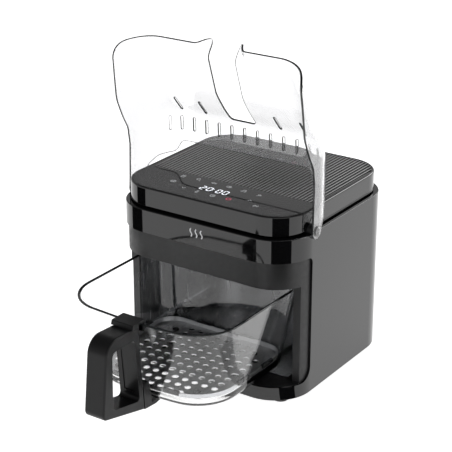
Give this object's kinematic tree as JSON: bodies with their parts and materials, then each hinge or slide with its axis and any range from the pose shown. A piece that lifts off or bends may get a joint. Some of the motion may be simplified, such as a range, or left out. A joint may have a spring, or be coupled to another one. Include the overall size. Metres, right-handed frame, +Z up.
{
  "type": "air fryer",
  "caption": "Countertop air fryer: black rounded housing with touch top, clear glass drawer with a D handle, and a clear guard that swings up over the front.",
  "frame": {"origin": "middle of the footprint with the drawer out, on the surface the feet stand on", "axes": "+Z up, +Y from the handle towards the back of the housing, +X to the right seen from the front"},
  "size_m": [0.2906, 0.4822, 0.4532],
  "materials": {
    "gloss_black": "high-gloss moulded ABS",
    "matt_black": "fine matt texture",
    "satin_black": "satin moulded nylon",
    "panel_glass": "gloss black touch overlay",
    "rubber": "matt rubber",
    "silicone": "matt silicone",
    "screw_steel": "zinc plated",
    "spring_steel": "bright spring wire",
    "shaft_steel": "ground",
    "motor_steel": "grey enamel",
    "brushed_steel": "brushed stainless",
    "bright_wire": "plated wire",
    "heater_sheath": "oxidised heater sheath",
    "aluminium": "stamped sheet",
    "circuit_board": "green laminate",
    "display": "smoked lens over white digits",
    "ceramic": "unglazed ceramic",
    "magnet": "nickel plated",
    "borosilicate": "clear pressed glass",
    "clear_polycarbonate": "clear, polished",
    "tray_steel": "stainless sheet, satin"
  },
  "bodies": {
    "housing": {"outer_shell": "gloss_black", "front_bezel": "matt_black", "base_pan": "matt_black", "foot_front_left": "rubber", "foot_front_right": "rubber", "foot_rear_left": "rubber", "foot_rear_right": "rubber", "back_cover": "matt_black", "back_screws": "screw_steel", "base_screws": "screw_steel", "exhaust_grille": "matt_black", "cord_gland": "rubber", "top_cap": "gloss_black", "touch_panel": "panel_glass", "top_grille": "matt_black", "display_module": "display", "control_board": "circuit_board", "touch_springs": "spring_steel", "power_board": "circuit_board", "cavity_liner": "brushed_steel", "heat_reflector": "brushed_steel", "heating_element": "heater_sheath", "heater_clips": "brushed_steel", "heater_guard": "bright_wire", "basket_rail_left": "brushed_steel", "basket_rail_right": "brushed_steel", "rim_guide_left": "brushed_steel", "rim_guide_right": "brushed_steel", "hinge_socket_left": "matt_black", "hinge_socket_right": "matt_black", "air_duct": "brushed_steel", "temperature_probe": "brushed_steel", "thermostat": "ceramic", "thermal_fuse": "ceramic", "basket_sensor": "matt_black", "motor_bracket": "brushed_steel", "motor_housing": "motor_steel"},
    "basket": {"glass_basket": "borosilicate", "handle_grip": "satin_black", "handle_cover": "satin_black", "rim_clamp": "satin_black", "lower_bracket": "satin_black", "handle_screws": "screw_steel", "sensor_magnet": "magnet"},
    "crisper": {"crisper_plate": "tray_steel", "crisper_feet": "silicone", "crisper_bumpers": "silicone"},
    "guard": {"guard_cover": "clear_polycarbonate", "pivot_pin_left": "clear_polycarbonate", "pivot_pin_right": "clear_polycarbonate"},
    "rotor": {"motor_shaft": "shaft_steel", "convection_fan": "aluminium", "cooling_fan": "matt_black", "fan_nut": "shaft_steel"}
  },
  "joints": [
    {"name": "basket_slide", "type": "slide", "parent": "housing", "child": "basket", "axis": [0, 1, 0], "range_m": [0, 0.146]},
    {"name": "guard_hinge", "type": "hinge", "parent": "housing", "child": "guard", "pos_m": [0, 0.03207, 0.231], "axis": [1, 0, 0], "range_deg": [0, 162.5]},
    {"name": "crisper_lift", "type": "slide", "parent": "basket", "child": "crisper", "axis": [0, 0, 1], "range_m": [0, 0.09]},
    {"name": "fan_spin", "type": "hinge", "parent": "housing", "child": "rotor", "pos_m": [0, 0.11157, 0.191], "axis": [0, 0, 1], "continuous": true}
  ],
  "couplings": [
    {"joint": "guard_hinge", "follows": "basket_slide", "rad_per_m": 19.366}
  ]
}
